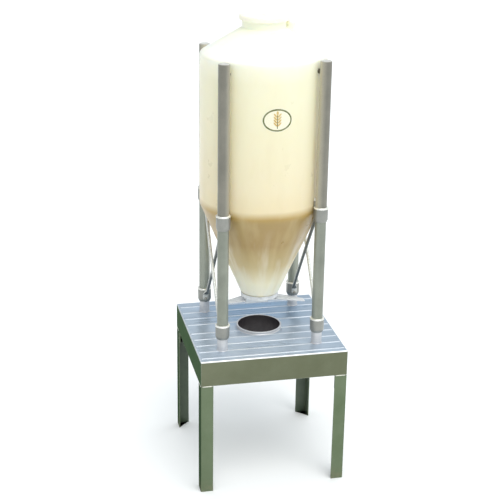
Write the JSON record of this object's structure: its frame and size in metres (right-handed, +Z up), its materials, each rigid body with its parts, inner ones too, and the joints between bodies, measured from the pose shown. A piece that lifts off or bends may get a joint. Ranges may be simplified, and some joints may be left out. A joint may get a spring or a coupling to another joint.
{
  "type": "toy feed silo",
  "caption": "Scale-model feed silo: cream hopper-bottomed vessel with lift-off lid and slide gate, held by braced tube posts on a ribbed sheet-metal stand with a drop ring.",
  "frame": {"origin": "centre of the stand at floor level", "axes": "+Z up along the vessel's axis, -Y is the front with the badge, +X to the right seen from the front, along the slide gate"},
  "size_m": [0.16, 0.16, 0.5035],
  "materials": {
    "galvanised_sheet": "semi-gloss rolled sheet with shallow ribs",
    "angle_steel": "satin",
    "weld_bead": "bright bead",
    "bright_metal": "turned, bright",
    "post_grey": "satin",
    "collar_grey": "satin with a bright rim",
    "brace_rod": "drawn rod, satin",
    "screw_steel": "zinc plated",
    "plug_white": "satin",
    "spacer_rubber": "matt",
    "vessel_plastic": "translucent moulded, soft gloss",
    "lid_plastic": "translucent moulded, soft gloss",
    "badge_print": "printed film",
    "gate_metal": "bright, slightly brushed"
  },
  "bodies": {
    "stand": {"base_stub_back_left": "bright_metal", "base_stub_back_right": "bright_metal", "base_stub_front_left": "bright_metal", "base_stub_front_right": "bright_metal", "brace_left_inner": "brace_rod", "brace_left_outer": "brace_rod", "brace_right_inner": "brace_rod", "brace_right_outer": "brace_rod", "brace_screws": "screw_steel", "drop_ring": "bright_metal", "front_badge": "badge_print", "gate_guide": "gate_metal", "guide_screws": "screw_steel", "leg_back_left": "angle_steel", "leg_back_right": "angle_steel", "leg_front_left": "angle_steel", "leg_front_right": "angle_steel", "leg_welds": "weld_bead", "lower_collar_back_left": "collar_grey", "lower_collar_back_right": "collar_grey", "lower_collar_front_left": "collar_grey", "lower_collar_front_right": "collar_grey", "lower_post_back_left": "post_grey", "lower_post_back_right": "post_grey", "lower_post_front_left": "post_grey", "lower_post_front_right": "post_grey", "outlet_plate": "gate_metal", "post_plugs": "plug_white", "stub_screws": "screw_steel", "stub_washers": "screw_steel", "support_pins": "plug_white", "table_top": "galvanised_sheet", "upper_collar_back_left": "collar_grey", "upper_collar_back_right": "collar_grey", "upper_collar_front_left": "collar_grey", "upper_collar_front_right": "collar_grey", "upper_post_back_left": "post_grey", "upper_post_back_right": "post_grey", "upper_post_front_left": "post_grey", "upper_post_front_right": "post_grey", "vessel_body": "vessel_plastic", "vessel_screws": "screw_steel", "vessel_spacers": "spacer_rubber"},
    "gate": {"slide_gate": "gate_metal"},
    "lid": {"lid": "lid_plastic"}
  },
  "joints": [
    {"name": "gate_slide", "type": "slide", "parent": "stand", "child": "gate", "axis": [1, 0, 0], "range_m": [-0.012, 0]},
    {"name": "lid_lift", "type": "slide", "parent": "stand", "child": "lid", "axis": [0, 0, 1], "range_m": [0, 0.04]}
  ]
}
